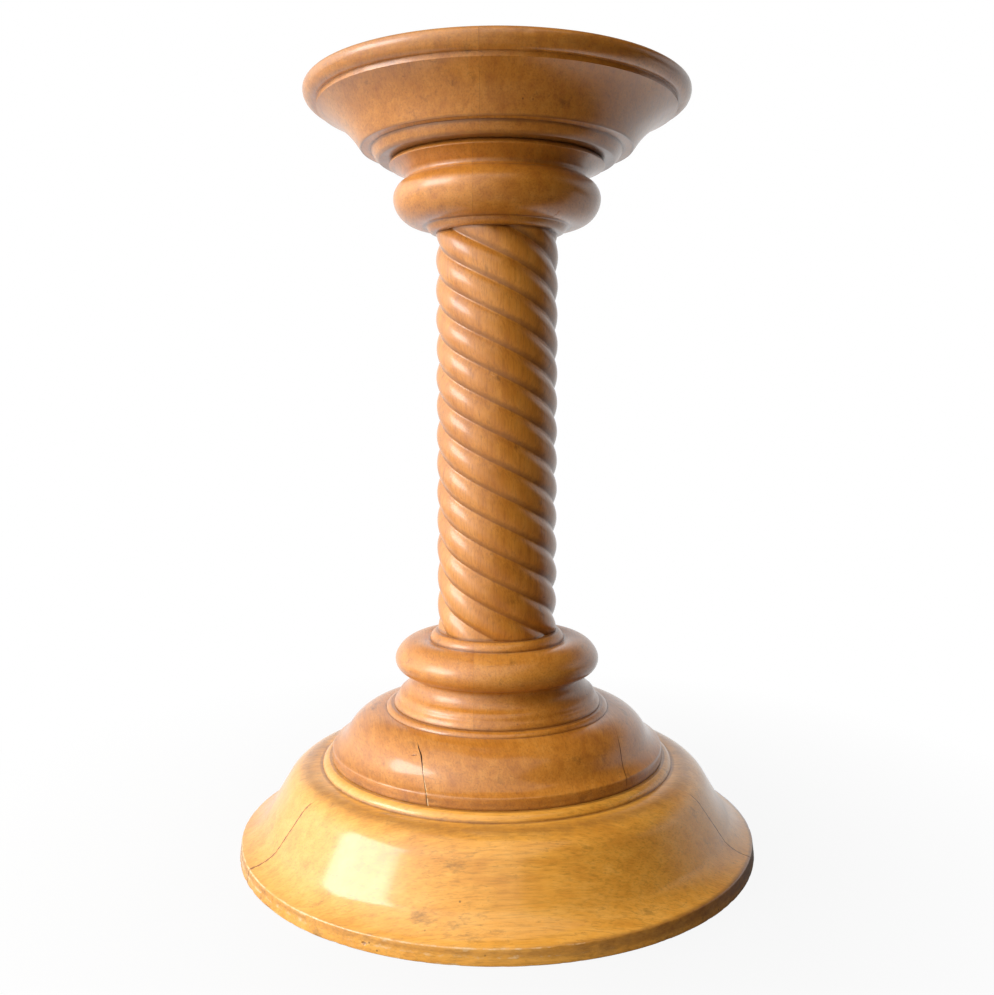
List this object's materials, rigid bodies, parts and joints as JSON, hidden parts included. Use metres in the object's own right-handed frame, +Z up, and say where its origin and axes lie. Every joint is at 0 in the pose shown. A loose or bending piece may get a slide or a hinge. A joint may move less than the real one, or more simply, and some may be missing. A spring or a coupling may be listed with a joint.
{
  "type": "plant stand",
  "caption": "Turned wooden plant stand: stepped round base, rope-twist column between two moulded collars, and a flared round top that carries a pot.",
  "frame": {"origin": "centre of the base's underside, on the turning axis", "axes": "+Z up along the turning axis, +X to the viewer's right, -Y towards the pictured front"},
  "size_m": [0.4234, 0.4234, 0.61],
  "materials": {
    "base_wood": "satin varnish, worn at the edges",
    "step_wood": "satin varnish",
    "collar_wood": "satin varnish",
    "shaft_wood": "satin varnish, darker in the grooves",
    "cap_wood": "satin varnish",
    "dowel_wood": "bare",
    "screw_steel": "zinc-plated"
  },
  "bodies": {
    "root": {"base_board_front": "base_wood", "base_board_middle": "base_wood", "base_board_back": "base_wood", "step_board_left": "step_wood", "step_board_middle": "step_wood", "step_board_right": "step_wood", "lower_collar_left": "collar_wood", "lower_collar_right": "collar_wood", "twist_shaft": "shaft_wood", "upper_collar_left": "collar_wood", "upper_collar_right": "collar_wood", "cap_board_left": "cap_wood", "cap_board_right": "cap_wood", "base_edge_dowels": "dowel_wood", "step_edge_dowels": "dowel_wood", "lower_collar_edge_dowels": "dowel_wood", "upper_collar_edge_dowels": "dowel_wood", "cap_edge_dowels": "dowel_wood", "collar_foot_dowels": "dowel_wood", "cap_dowels": "dowel_wood", "coach_screw": "screw_steel", "coach_washer": "screw_steel", "tier_screws": "screw_steel"}
  },
  "joints": []
}
